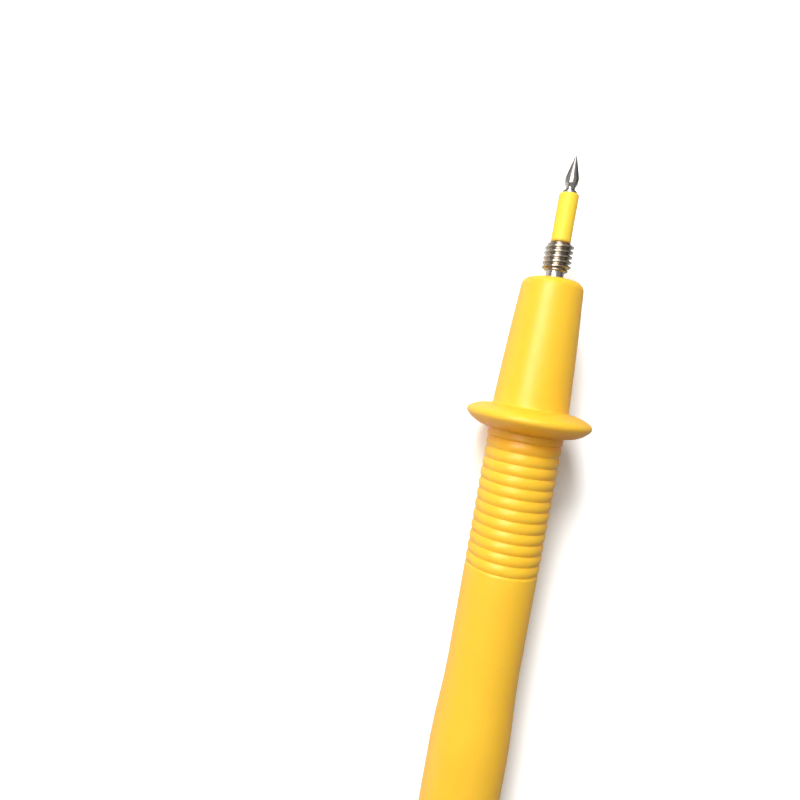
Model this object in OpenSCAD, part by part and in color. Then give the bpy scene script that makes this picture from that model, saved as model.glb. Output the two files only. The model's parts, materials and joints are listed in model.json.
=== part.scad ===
// Hand-held test probe: a pointed contact with an M4 clip thread, a moulded handle
// with a finger guard and a ribbed grip, and a shrouded 4 mm lead socket at the rear.
// Every piece is turned about one axis. Along it, z = 0 is the point and z grows to
// the rear. placed() then lays the probe down on its guard and its rear edge.

/* [Point] */
// Radius of the very point
point_r = 0.1; // [0.05:0.01:0.25]
// Length from the point to the widest part of the spike
spike_len = 3.2; // [2.5:0.1:8]
// Widest diameter of the spike
spike_d = 1.9; // [1.8:0.05:2.4]
// Length of the land behind the spike's cone
land_len = 0.8; // [0.1:0.05:1.5]
// Diameter of the land at its rear end
land_d = 1.8; // [1.5:0.05:1.8]
// Diameter of the neck behind the land
neck_d = 1.25; // [0.8:0.05:1.4]
// Length of the cove from the land down to the neck
neck_taper_len = 0.75; // [0.5:0.05:2]
// Length of the flare from the neck out to the shank
flare_len = 0.3; // [0.1:0.05:1]

/* [Shank and sleeve] */
// Diameter of the shank inside the insulating sleeve
shank_d = 2; // [1.6:0.1:2.3]
// Outer diameter of the insulating sleeve
sleeve_d = 2.75; // [2.5:0.05:3.2]
// Length of the insulating sleeve
sleeve_len = 6.9; // [4:0.1:20]
// Bare shank between the flare and the sleeve
sleeve_lead = 0.35; // [0.1:0.05:2]
// Bare shank between the sleeve and the thread
sleeve_gap = 0.1; // [0.05:0.05:2]

/* [Clip thread] */
// Outer diameter of the clip thread
thread_d = 4; // [3.6:0.1:5]
// Pitch of the clip thread
thread_pitch = 0.7; // [0.5:0.05:1]
// Number of thread ridges
thread_ridges = 5; // [4:1:9]
// Radial step from the thread out to the guide collar, which lets the thread pass the nose
collar_step = 0.2; // [0.16:0.02:0.24]
// Diameter of the plain rod between the thread and the handle
rod_d = 2.5; // [2:0.1:3]
// Length of that rod that shows in front of the handle
rod_show = 1.25; // [0.3:0.05:4]

/* [Handle nose] */
// Diameter of the nose at its front face
nose_front_d = 8.7; // [8:0.1:10]
// Diameter of the nose where it meets the finger guard
nose_root_d = 10.8; // [10.2:0.1:12]
// Length of the nose in front of the finger guard
nose_len = 18.4; // [16:0.05:30]
// Radius of the nose's front edge
nose_edge_r = 1.3; // [0.3:0.1:1.5]
// Wall between the front face and the rod's guide collar
nose_lip = 0.5; // [0.4:0.1:1.5]

/* [Finger guard] */
// Diameter of the finger guard
guard_d = 17.7; // [15:0.1:26]
// Radius of the guard's rounded rim
guard_rim_r = 0.7; // [0.4:0.05:1]
// Length from the nose to the middle of the rim
guard_front_len = 1.45; // [1.2:0.05:4]
// Length from the middle of the rim to the grip
guard_rear_len = 1.95; // [1.5:0.05:5]

/* [Grip] */
// Diameter over the grip's ribs
grip_d = 10.66; // [10.4:0.02:12]
// Depth of the grooves between the ribs
groove_depth = 0.24; // [0.1:0.02:0.5]
// Distance from one groove to the next
rib_pitch = 1.55; // [1.2:0.05:2.5]
// Number of grooves
groove_count = 13; // [6:1:18]
// Length from the guard to the first groove
groove_lead = 1.25; // [0.6:0.05:2]

/* [Barrel] */
// Overall length of the handle
handle_len = 95.5; // [90:0.5:140]
// Diameter of the barrel behind the grip
barrel_d = 10.54; // [10.3:0.02:12]
// Diameter of the barrel round the lead socket
rear_d = 11.6; // [11.3:0.1:13]
// Length of the widened part of the barrel
rear_len = 28; // [26:0.5:32]
// Length over which the barrel widens
widen_len = 9; // [3:0.5:12]
// Radius of the rear edge
rear_edge_r = 0.5; // [0.2:0.05:0.6]

/* [Handle bores] */
// Diameter of the bore that takes the inner parts
core_bore_d = 6.8; // [6.6:0.1:7]
// Length of the rod's guide collar in the nose
guide_len = 12.6; // [6:0.2:13]
// Width across flats of the rod's hexagonal flange
flange_af = 5.6; // [5.4:0.05:5.65]
// Thickness of the rod's hexagonal flange
flange_t = 2; // [1:0.1:3]

/* [Lead socket] */
// Bore of the socket contact
socket_d = 4; // [3.8:0.1:4.2]
// Depth of that bore
socket_len = 19.5; // [18:0.5:22]
// Wall of the contact tube
contact_wall = 0.5; // [0.4:0.05:0.6]
// Distance from the rear face down to the contact tube
contact_recess = 2; // [1.5:0.1:3]
// Width of the slots in the contact tube
slot_w = 0.5; // [0.3:0.05:0.8]
// Length of the slots in the contact tube
slot_len = 12; // [8:0.5:15]
// Bore of the handle round the socket
shroud_d = 9; // [8.8:0.1:9.2]
// Depth that a plug's collar can enter
collar_depth = 22; // [20:0.5:24]
// Outer diameter of the inner insulating sleeve
inner_sleeve_d = 6.4; // [6.2:0.05:6.5]
// Distance from the rear face down to that sleeve
inner_sleeve_recess = 0.8; // [0.5:0.1:1]
// Length of the sleeve's inner lip over the contact's mouth
sleeve_lip = 1; // [0.6:0.1:1.2]
// Thickness of the sleeve's seating flange
seat_t = 1.4; // [1:0.1:2]
// Web between the contact's bore and the conductor's threaded hole
web_t = 1; // [0.5:0.1:1.5]
// Thickness of the contact's head flange
head_t = 1.5; // [1:0.1:2]

/* [Springs and rings] */
// Thickness of the retaining ring
ring_t = 0.8; // [0.5:0.05:1.2]
// Depth of the ring's groove in the handle
ring_groove = 0.45; // [0.3:0.05:0.5]
// Radial width of the retaining ring
ring_w = 1; // [0.8:0.05:1.1]
// Opening of the retaining ring
ring_opening = 40; // [20:5:70]
// Width of the contact spring
spring_w = 1.6; // [1:0.1:2.5]
// Thickness of the contact spring
spring_t = 0.22; // [0.15:0.01:0.24]
// Distance from the contact's mouth to its spring
spring_lead = 2.5; // [2:0.1:4]
// Thickness of the wave washer behind the rod's flange
wave_t = 0.6; // [0.4:0.1:1]

/* [Conductor] */
// Diameter of the conductor and its M3 ends
conductor_d = 3; // [2.6:0.1:3.2]
// Depth of the threaded holes that take its ends
screw_depth = 6; // [4.5:0.5:8]
// Length of the rod's boss behind its flange
boss_len = 4; // [2:0.5:6]
// Diameter of that boss
boss_d = 5; // [4.4:0.1:5.2]
// Thickness of the jam nut
nut_t = 1.8; // [1.5:0.1:2.4]
// Width across flats of the jam nut
nut_af = 5.5; // [5:0.1:5.6]
// Thickness of the washer under the nut
nut_washer_t = 0.5; // [0.3:0.05:0.8]
// Diameter of the washer under the nut
nut_washer_d = 6; // [5.2:0.1:6.3]

/* [Clearances] */
// Radial clearance of parts that slide together
slide_fit = 0.05; // [0.02:0.01:0.08]
// Radial clearance of the inner tube in its bore
core_fit = 0.1; // [0.05:0.01:0.15]
// End clearance of a screw in its hole
end_play = 0.4; // [0.2:0.1:0.8]

/* [Hidden] */
$fn = 96;
arc_steps = 8; // straight steps in a rounded edge
rib_steps = 8; // straight steps across a rib
over = 1; // length by which a cut runs past the face that it opens

// Stations along the axis, from the point to the rear
land_z = spike_len + land_len;
neck_z = land_z + neck_taper_len;
shank_z = neck_z + flare_len;
sleeve_z = shank_z + sleeve_lead;
thread_z = sleeve_z + sleeve_len + sleeve_gap;
thread_len = (thread_ridges + 0.5) * thread_pitch;
rod_z = thread_z + thread_len;
nose_z = rod_z + rod_show;
collar_z = nose_z + nose_lip;
flange_z = collar_z + guide_len;
boss_z = flange_z + flange_t;
boss_end = boss_z + boss_len;
nose_root_z = nose_z + nose_len;
rim_z = nose_root_z + guard_front_len;
grip_z = rim_z + guard_rear_len;
first_groove_z = grip_z + groove_lead;
grip_end = first_groove_z + (groove_count - 1) * rib_pitch;
rear_z = nose_z + handle_len;
wide_z = rear_z - rear_len;
ring_end = rear_z - collar_depth;
ring_z = ring_end - ring_t;
seat_z = ring_z - seat_t;
sleeve_end = rear_z - inner_sleeve_recess;
mouth_z = rear_z - contact_recess;
socket_floor = mouth_z - socket_len;
head_z = socket_floor - web_t - screw_depth;
head_end = head_z + head_t;
nut_z = head_z - nut_t;
washer_z = nut_z - nut_washer_t;
core_z = boss_z + wave_t;

// Radii shared by parts that fit together
guide_r = thread_d / 2 + collar_step;
contact_r = socket_d / 2 + contact_wall;
lead_in = contact_wall / 2; // width and depth of the chamfer at the contact's mouth
mouth_r = socket_d / 2 + lead_in;
core_r = core_bore_d / 2 - core_fit;
tapped_r = conductor_d / 2 + slide_fit;
boss_bore_r = boss_d / 2 + core_fit;
spring_in_r = contact_r - spring_t;
ring_bed_r = shroud_d / 2 + ring_groove;
ring_r = ring_bed_r - slide_fit;

// Lie of the probe: one line touches the guard's rim and the rear edge from below
span_z = rear_z - rear_edge_r - rim_z;
span_r = (guard_d / 2 - guard_rim_r) - (rear_d / 2 - rear_edge_r);
lie = atan2(span_r, span_z)
    + asin((guard_rim_r - rear_edge_r) / sqrt(pow(span_z, 2) + pow(span_r, 2)));
axis_h = rim_z * sin(lie) + (guard_d / 2 - guard_rim_r) * cos(lie) + guard_rim_r;
front_y = point_r * (1 - cos(lie));
rear_y = (rear_z - rear_edge_r) * cos(lie) + (rear_d / 2 - rear_edge_r) * sin(lie)
    + rear_edge_r;
mid_y = (front_y - rear_y) / 2;

// Points of an arc in the plane of radius and z, from angle a to angle b
function arc(r, z, size, a, b) = [for (i = [0 : arc_steps])
    [r + size * cos(a + (b - a) * i / arc_steps),
     z + size * sin(a + (b - a) * i / arc_steps)]];

// Points without the first and the last, which neighbouring arcs already hold
function inner(points) = [for (i = [1 : len(points) - 2]) points[i]];

// Radius of the arc through the origin that starts along x and ends at dx, dy
function arc_size(dx, dy) = (pow(dx, 2) + pow(dy, 2)) / (2 * dy);

// Radius of the guard's face that leaves its root square to the axis and runs into the rim,
// whose centre is dr outside the root and dz behind it
function face_size(dr, dz) =
    (pow(dr, 2) + pow(dz, 2) - pow(guard_rim_r, 2)) / (2 * (dz - guard_rim_r));

// Radius of one rounded rib at a share u of the way across it, 0 and 1 being grooves
function rib_r(u) =
    let (size = arc_size(rib_pitch / 2, groove_depth))
    grip_d / 2 - size + sqrt(pow(size, 2) - pow((u - 0.5) * rib_pitch, 2));

// A solid turned about the axis from its half section
module turned(points) {
    rotate_extrude() polygon(points);
}

// A tube from z to z + len
module tube(outer_r, inner_r, z, len) {
    turned([[inner_r, z], [outer_r, z], [outer_r, z + len], [inner_r, z + len]]);
}

// A plain bore or rod from z to z + len
module rod(r, z, len) {
    translate([0, 0, z]) cylinder(h = len, r = r);
}

// A hexagonal prism from z to z + len
module hexagon(across_flats, z, len) {
    translate([0, 0, z]) cylinder(h = len, r = across_flats / 2 / cos(30), $fn = 6);
}

// Lays the probe down, its point towards +Y
module placed() {
    translate([0, -mid_y, axis_h]) rotate([90 + lie, 0, 0]) children();
}

// Spike, neck, shank, clip thread, guide collar and hexagonal flange, turned in one piece
module contact_rod() {
    spike_angle = atan2(spike_d / 2 - point_r, spike_len - point_r);
    cove_depth = (land_d - neck_d) / 2;
    cove = arc_size(neck_taper_len, cove_depth);
    cove_angle = acos(1 - cove_depth / cove);
    thread_root_r = thread_d / 2 - 0.6134 * thread_pitch; // depth of a metric thread
    crest = thread_pitch / 8; // flat of a metric crest
    root = thread_pitch / 4; // flat of a metric root
    ridge_z = thread_z + thread_pitch / 4;
    ridges = [for (i = [0 : thread_ridges - 1]) each [
        [thread_root_r, ridge_z + i * thread_pitch + root / 2],
        [thread_d / 2, ridge_z + (i + 0.5) * thread_pitch - crest / 2],
        [thread_d / 2, ridge_z + (i + 0.5) * thread_pitch + crest / 2],
        [thread_root_r, ridge_z + (i + 1) * thread_pitch - root / 2]]];
    color("silver") placed() difference() {
        union() {
            turned(concat(
                [[0, 0]],
                arc(0, point_r, point_r, -90 + 90 / arc_steps, -spike_angle),
                [[spike_d / 2, spike_len]],
                arc(neck_d / 2 + cove, neck_z, cove, 180 + cove_angle, 180),
                [[shank_d / 2, shank_z], [shank_d / 2, thread_z],
                 [thread_root_r, thread_z]],
                ridges,
                [[thread_root_r, rod_z], [rod_d / 2, rod_z], [rod_d / 2, collar_z],
                 [guide_r, collar_z], [guide_r, flange_z], [0, flange_z]]));
            hexagon(flange_af, flange_z, flange_t);
            rod(boss_d / 2, boss_z, boss_len);
        }
        rod(tapped_r, boss_end - screw_depth, screw_depth + over);
    }
}

// Insulating sleeve shrunk over the shank, with softened ends
module tip_sleeve() {
    inner = shank_d / 2 + slide_fit;
    outer = sleeve_d / 2;
    edge = (outer - inner) / 2;
    sleeve_rear = sleeve_z + sleeve_len;
    color("yellow") placed() turned(concat(
        [[inner, sleeve_z]],
        arc(outer - edge, sleeve_z + edge, edge, -90, 0),
        arc(outer - edge, sleeve_rear - edge, edge, 0, 90),
        [[inner, sleeve_rear]]));
}

// Outer half section of the handle, from the nose's face to the rear face
function handle_outline() =
    let (
        nose_front_r = nose_front_d / 2,
        nose_root_r = nose_root_d / 2,
        grip_r = grip_d / 2,
        rim_r = guard_d / 2 - guard_rim_r,
        nose_angle = atan2(nose_root_r - nose_front_r, nose_len),
        front_size = face_size(rim_r - nose_root_r, guard_front_len),
        rear_size = face_size(rim_r - grip_r, guard_rear_len),
        front_angle = atan2(guard_front_len - front_size, rim_r - nose_root_r),
        rear_angle = atan2(rear_size - guard_rear_len, rim_r - grip_r) )
    concat(
        arc(nose_front_r - nose_edge_r, nose_z + nose_edge_r, nose_edge_r, -90, -nose_angle),
        arc(nose_root_r, nose_root_z + front_size, front_size, -90, front_angle),
        inner(arc(rim_r, rim_z, guard_rim_r, front_angle, rear_angle)),
        arc(grip_r, grip_z - rear_size, rear_size, rear_angle, 90),
        [[grip_r, first_groove_z - groove_depth],
         [grip_r - groove_depth, first_groove_z]],
        [for (k = [0 : groove_count - 2], j = [1 : rib_steps])
            [rib_r(j / rib_steps), first_groove_z + (k + j / rib_steps) * rib_pitch]],
        [[barrel_d / 2, grip_end + groove_depth],
         [barrel_d / 2, wide_z - widen_len],
         [rear_d / 2, wide_z]],
        arc(rear_d / 2 - rear_edge_r, rear_z - rear_edge_r, rear_edge_r, 0, 90));

// Moulded handle: nose, finger guard, ribbed grip and barrel, bored for the inner parts
module handle_shell() {
    color("gold") placed() difference() {
        turned(concat([[0, nose_z]], handle_outline(), [[0, rear_z]]));
        rod(guide_r + slide_fit, nose_z - over, flange_z - nose_z + 2 * over);
        hexagon(flange_af + 2 * slide_fit, flange_z, flange_t + over);
        rod(core_bore_d / 2, boss_z, seat_z - boss_z + over);
        rod(shroud_d / 2, seat_z, rear_z - seat_z + over);
        rod(ring_bed_r, ring_z - slide_fit, ring_t + 2 * slide_fit);
    }
}

// Spring washer that keeps the rod's flange on its seat
module wave_washer() {
    color("dimgray") placed() tube(core_r, boss_bore_r, boss_z, wave_t);
}

// Plain conductor with a thread on both ends, from the contact rod to the socket
module conductor_rod() {
    front = boss_end - screw_depth + end_play;
    rear = head_z + screw_depth - end_play;
    tip = conductor_d / 10;
    color("darkgoldenrod") placed() turned([
        [0, front], [conductor_d / 2 - tip, front], [conductor_d / 2, front + tip],
        [conductor_d / 2, rear - tip], [conductor_d / 2 - tip, rear], [0, rear]]);
}

// Insulating spacer tube round the conductor, counterbored for the rod's boss
module core_tube() {
    color("ivory") placed() difference() {
        tube(core_r, tapped_r, core_z, washer_z - core_z);
        rod(boss_bore_r, core_z - over, boss_end - core_z + end_play + over);
    }
}

// Flat washer between the spacer tube and the nut
module nut_washer() {
    color("silver") placed() tube(nut_washer_d / 2, tapped_r, washer_z, nut_washer_t);
}

// Thin nut that locks the conductor in the socket contact
module jam_nut() {
    color("silver") placed() difference() {
        hexagon(nut_af, nut_z, nut_t);
        rod(tapped_r, nut_z - over, nut_t + 2 * over);
    }
}

// Slotted socket tube with a solid head that the conductor screws into
module socket_contact() {
    head_r = inner_sleeve_d / 2 - core_fit;
    spring_z = mouth_z - spring_lead - spring_w;
    color("khaki") placed() difference() {
        union() {
            rod(head_r, head_z, head_t);
            rod(contact_r, head_end, mouth_z - head_end);
        }
        rod(tapped_r, head_z - over, screw_depth + over);
        rod(socket_d / 2, socket_floor, socket_len + over);
        translate([0, 0, mouth_z - lead_in])
            cylinder(h = 2 * lead_in, r1 = socket_d / 2, r2 = mouth_r + lead_in);
        tube(contact_r + over, spring_in_r, spring_z - slide_fit, spring_w + 2 * slide_fit);
        for (turn = [0, 90]) rotate(turn)
            translate([-contact_r - over, -slot_w / 2, mouth_z - slot_len])
                cube([2 * (contact_r + over), slot_w, slot_len + over]);
    }
}

// Split spring band that presses the leaves of the contact together
module contact_spring() {
    spring_z = mouth_z - spring_lead - spring_w;
    split = 30; // degrees left open
    color("lightsteelblue") placed() rotate(split / 2) rotate_extrude(angle = 360 - split)
        translate([spring_in_r + slide_fit, spring_z])
            square([spring_t, spring_w]);
}

// Insulating sleeve round the contact, with a seating flange, a step inside the
// retaining ring that a plug's collar stops on, and a lip at its mouth
module socket_sleeve() {
    inner = contact_r + 2 * slide_fit;
    outer = inner_sleeve_d / 2;
    edge = sleeve_lip / 4;
    seat_r = shroud_d / 2 - slide_fit;
    step_r = (outer + ring_r - ring_w) / 2;
    color("gold") placed() turned([
        [inner, head_end], [outer, head_end], [outer, seat_z], [seat_r, seat_z],
        [seat_r, ring_z], [step_r, ring_z], [step_r, ring_end], [outer, ring_end],
        [outer, sleeve_end - edge], [outer - edge, sleeve_end], [mouth_r, sleeve_end],
        [mouth_r, sleeve_end - sleeve_lip], [inner, sleeve_end - sleeve_lip]]);
}

// Open ring that snaps into the handle's groove and holds the inner parts in
module retaining_ring() {
    color("dimgray") placed() rotate(90 + ring_opening / 2)
        rotate_extrude(angle = 360 - ring_opening)
            translate([ring_r - ring_w, ring_z]) square([ring_w, ring_t]);
}

contact_rod();
tip_sleeve();
handle_shell();
wave_washer();
conductor_rod();
core_tube();
nut_washer();
jam_nut();
socket_contact();
contact_spring();
socket_sleeve();
retaining_ring();
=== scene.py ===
import json
import math
import bpy
import numpy as np
from mathutils import Matrix, Vector


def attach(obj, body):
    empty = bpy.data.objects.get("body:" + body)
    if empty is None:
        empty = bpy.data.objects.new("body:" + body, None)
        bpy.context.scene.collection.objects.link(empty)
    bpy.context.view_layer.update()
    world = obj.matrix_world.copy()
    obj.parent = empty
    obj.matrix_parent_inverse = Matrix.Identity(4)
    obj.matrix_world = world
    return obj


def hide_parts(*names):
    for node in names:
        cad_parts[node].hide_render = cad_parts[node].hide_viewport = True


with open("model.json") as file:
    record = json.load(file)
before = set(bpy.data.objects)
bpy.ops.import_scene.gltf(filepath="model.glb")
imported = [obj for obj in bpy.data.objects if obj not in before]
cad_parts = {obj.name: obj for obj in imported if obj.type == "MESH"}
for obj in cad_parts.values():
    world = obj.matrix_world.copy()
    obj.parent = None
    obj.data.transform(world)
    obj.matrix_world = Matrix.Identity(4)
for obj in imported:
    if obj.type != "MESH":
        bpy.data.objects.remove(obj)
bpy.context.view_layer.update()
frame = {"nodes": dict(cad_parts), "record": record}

mm = 0.001  # sizes below are in millimetres, Blender's are in metres
samePoint = 1e-6  # points of a section closer than this are one
longestCut = 0.49  # most of an edge's length that one rounded corner takes
uvPerMillimetre = 0.1

# The probe's own axes, read from the frame: station 0 is the point, stations grow rearward
mounts = {mount["name"]: mount for mount in frame["record"]["mounts"]}
rearward = np.array(mounts["lead_socket"]["axis"])
rearward /= np.linalg.norm(rearward)
sideways = np.array([1.0, 0.0, 0.0])
upward = np.cross(rearward, sideways)
axisAnchor = np.array(mounts["lead_socket"]["pos_m"])


# Corners of a CAD node's mesh, one row of three metres each
def nodePoints(name):
    vertices = frame["nodes"][name].data.vertices
    flat = np.empty(len(vertices) * 3)
    vertices.foreach_get("co", flat)
    return flat.reshape(-1, 3)


pointPlace = axisAnchor + rearward * ((nodePoints("contact_rod") - axisAnchor) @ rearward).min()


# First station, last station and largest radius of a CAD node: its points' distances
# along the axis and from it
def spanOf(name):
    offset = (nodePoints(name) - pointPlace) / mm
    stations = offset @ rearward
    radii = np.hypot(offset @ sideways, offset @ upward)
    return stations.min(), stations.max(), radii.max()


# Points of a circular arc: centre plus size times (cosine, sine) of the angle, which runs
# evenly from one angle to the other. A row holds radius and station.
def arcPoints(radius, station, size, fromDegrees, toDegrees, steps=10):
    angle = np.radians(np.linspace(fromDegrees, toDegrees, steps + 1))
    return np.column_stack([radius + size * np.cos(angle), station + size * np.sin(angle)])


# Radius of the arc that leaves a point in one direction and ends "along" further on and
# "aside" of it: (along^2 + aside^2) / (2 aside)
def arcSize(along, aside):
    return (along ** 2 + aside ** 2) / (2 * aside)


# Rounds the corners of a half section. Each corner point P gives way to the curve
# ((1-t)^2 A + 2 w t (1-t) P + t^2 B) / ((1-t)^2 + 2 w t (1-t) + t^2) between the points A
# and B that lie "cut" before and behind it, with w the sine of half the corner's angle, which
# makes it an arc. The first and the last point stay.
def roundCorners(points, cuts, steps=5):
    points = np.asarray(points, float)
    cuts = np.asarray(cuts, float)[:, None]
    before, after = np.roll(points, 1, 0) - points, np.roll(points, -1, 0) - points
    lengthBefore = np.linalg.norm(before, axis=1, keepdims=True)
    lengthAfter = np.linalg.norm(after, axis=1, keepdims=True)
    cuts[[0, -1]] = 0
    cuts = np.minimum(cuts, longestCut * np.minimum(lengthBefore, lengthAfter))
    start = points + before / lengthBefore * cuts
    end = points + after / lengthAfter * cuts
    opening = np.sum(before * after, 1, keepdims=True) / (lengthBefore * lengthAfter)
    weight = np.sqrt(np.clip((1 - opening) / 2, 0, 1))[:, None]
    t = np.linspace(0, 1, steps + 1)[None, :, None]
    share = (1 - t) ** 2, 2 * weight * t * (1 - t), t ** 2
    curve = (share[0] * start[:, None] + share[1] * points[:, None] + share[2] * end[:, None])
    curve = (curve / (share[0] + share[1] + share[2])).reshape(-1, 2)
    step = np.linalg.norm(np.diff(curve, axis=0, prepend=curve[-1:] + 1), axis=1)
    return curve[step > samePoint]


# A mesh from a grid of radii and stations over (row along the section, column round the
# axis): point = place + sideways r cos(a) + upward r sin(a) + rearward s. A closed section
# joins its last row to its first; an open one ends in a pole on the axis at both ends. The
# UV map holds the share of a turn and the length along the section.
def turnedMesh(name, radii, stations, angles, material, closed=True, sharpDegrees=32):
    rows, columns = radii.shape
    across = radii[..., None] * (np.cos(angles)[:, None] * sideways
                                 + np.sin(angles)[:, None] * upward)
    grid = pointPlace + mm * (across + stations[..., None] * rearward)
    row = np.arange(rows if closed else rows - 1)[:, None]
    column = np.arange(columns)[None, :]
    nextRow, nextColumn = (row + 1) % rows, (column + 1) % columns
    quads = np.stack([row * columns + column, row * columns + nextColumn,
                      nextRow * columns + nextColumn, nextRow * columns + column], -1)
    quads = quads.reshape(-1, 4)
    faces, points = quads.tolist(), grid.reshape(-1, 3)
    turn = np.broadcast_to(column / columns, (len(row), columns))
    nextTurn = turn + 1 / columns
    length = uvPerMillimetre * np.cumsum(np.hypot(
        np.diff(radii[:, 0], prepend=radii[0, 0]),
        np.diff(stations[:, 0], prepend=stations[0, 0])))
    along = np.broadcast_to(length[row % rows], turn.shape)
    nextAlong = np.broadcast_to(length[nextRow], turn.shape)
    uv = np.stack([turn, along, nextTurn, along, nextTurn, nextAlong, turn, nextAlong], -1)
    uv = uv.reshape(-1, 2)
    if not closed:
        poles = pointPlace + mm * stations[[0, -1]].mean(1)[:, None] * rearward
        first, last = rows * columns, rows * columns + 1
        ring, nextRing = np.arange(columns), (np.arange(columns) + 1) % columns
        lastRing = (rows - 1) * columns
        faces += np.column_stack([np.full(columns, first), nextRing, ring]).tolist()
        faces += np.column_stack([lastRing + ring, lastRing + nextRing,
                                  np.full(columns, last)]).tolist()
        points = np.vstack([points, poles])
        fan = np.column_stack([ring / columns, ring * 0.0, ring / columns + 1 / columns,
                               ring * 0.0, ring / columns, ring * 0.0]).reshape(-1, 2)
        uv = np.vstack([uv, fan, fan + [0, length[-1]]])
    mesh = bpy.data.meshes.new(name)
    mesh.from_pydata(points.tolist(), [], faces)
    mesh.uv_layers.new(name="section").data.foreach_set("uv", uv.ravel())
    mesh.shade_smooth()
    mesh.set_sharp_from_angle(angle=math.radians(sharpDegrees))
    mesh.materials.append(material)
    piece = bpy.data.objects.new(name, mesh)
    bpy.context.scene.collection.objects.link(piece)
    return piece


# Writes the share of painted shade at each point of a turned mesh's grid on the mesh; poles have
# none
def markPaintedShade(piece, share):
    values = np.zeros(len(piece.data.vertices))
    values[:share.size] = share.ravel()
    attribute = piece.data.attributes.new("paintedShade", "FLOAT", "POINT")
    attribute.data.foreach_set("value", values)


# A plain turned piece: the same closed half section at every angle
def turnedPiece(name, section, material, columns):
    angles = np.arange(columns) * 2 * np.pi / columns
    radii = np.repeat(section[:, :1], columns, 1)
    stations = np.repeat(section[:, 1:], columns, 1)
    return turnedMesh(name, radii, stations, angles, material)


# Marks that stand in for the radius in those rows of a half section that aren't round
hexMark, threadMark = -1.0, -2.0


# Distance from the axis to the side of a hexagon of width 1 across its flats, with a
# corner at angle 0: half the width over the cosine of the angle to the nearest flat
def hexagonReach(angles):
    return 0.5 / np.cos(angles % (np.pi / 3) - np.pi / 6)


# A new node; a value goes to the socket of its name, or to the node's own setting
def addNode(tree, kind, **values):
    node = tree.nodes.new(kind)
    for name, value in values.items():
        if name in node.inputs:
            node.inputs[name].default_value = value
        else:
            setattr(node, name, value)
    return node


def setInputs(node, values):
    for name, value in values.items():
        node.inputs[name].default_value = value


# A shader node group with sockets of a name, a kind and, for inputs, a value or None
def newGroup(name, inputs, outputs):
    tree = bpy.data.node_groups.new(name, "ShaderNodeTree")
    for socketName, kind, value in inputs:
        socket = tree.interface.new_socket(socketName, in_out="INPUT", socket_type=kind)
        if value is not None:
            socket.default_value = value
    for socketName, kind in outputs:
        tree.interface.new_socket(socketName, in_out="OUTPUT", socket_type=kind)
    return tree, tree.nodes.new("NodeGroupInput"), tree.nodes.new("NodeGroupOutput")


# Scales of one pattern against another, and the parts of a noise that are stretched to 0..1
patterns = {
    "stainRange": (0.42, 0.72), "smearRange": (0.3, 0.7), "smearFineness": 4.3,
    "swellCoarseness": 0.12, "ringStretch": (0.01, 0.01, 1.0), "bandCoarseness": 0.2,
}


# Patches: where hands, air and time have changed a surface. The colour drifts between the
# base and the stain over broad patches, and the roughness follows finer smears.
def makePatchGroup():
    tree, inside, outside = newGroup("patches", [
        ("Vector", "NodeSocketVector", None), ("Base", "NodeSocketColor", (1, 1, 1, 1)),
        ("Stain", "NodeSocketColor", (0.5, 0.5, 0.5, 1)), ("Scale", "NodeSocketFloat", 60.0),
        ("Amount", "NodeSocketFloat", 0.2), ("Smooth", "NodeSocketFloat", 0.3),
        ("Dull", "NodeSocketFloat", 0.4)],
        [("Color", "NodeSocketColor"), ("Roughness", "NodeSocketFloat")])
    broad = addNode(tree, "ShaderNodeTexNoise", Detail=4.0, Roughness=0.55)
    spread = addNode(tree, "ShaderNodeMapRange")
    setInputs(spread, dict(zip(("From Min", "From Max"), patterns["stainRange"])))
    amount = addNode(tree, "ShaderNodeMath", operation="MULTIPLY")
    mix = addNode(tree, "ShaderNodeMix", data_type="RGBA")
    finer = addNode(tree, "ShaderNodeMath", operation="MULTIPLY")
    finer.inputs[1].default_value = patterns["smearFineness"]
    smears = addNode(tree, "ShaderNodeTexNoise", Detail=6.0, Roughness=0.65, Distortion=0.8)
    rough = addNode(tree, "ShaderNodeMapRange")
    setInputs(rough, dict(zip(("From Min", "From Max"), patterns["smearRange"])))
    link = tree.links.new
    link(inside.outputs["Vector"], broad.inputs["Vector"])
    link(inside.outputs["Scale"], broad.inputs["Scale"])
    link(broad.outputs["Fac"], spread.inputs["Value"])
    link(spread.outputs["Result"], amount.inputs[0])
    link(inside.outputs["Amount"], amount.inputs[1])
    link(amount.outputs[0], mix.inputs[0])
    link(inside.outputs["Base"], mix.inputs[6])
    link(inside.outputs["Stain"], mix.inputs[7])
    link(inside.outputs["Scale"], finer.inputs[0])
    link(inside.outputs["Vector"], smears.inputs["Vector"])
    link(finer.outputs[0], smears.inputs["Scale"])
    link(smears.outputs["Fac"], rough.inputs["Value"])
    link(inside.outputs["Smooth"], rough.inputs["To Min"])
    link(inside.outputs["Dull"], rough.inputs["To Max"])
    link(mix.outputs[2], outside.inputs["Color"])
    link(rough.outputs["Result"], outside.inputs["Roughness"])
    return tree


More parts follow.
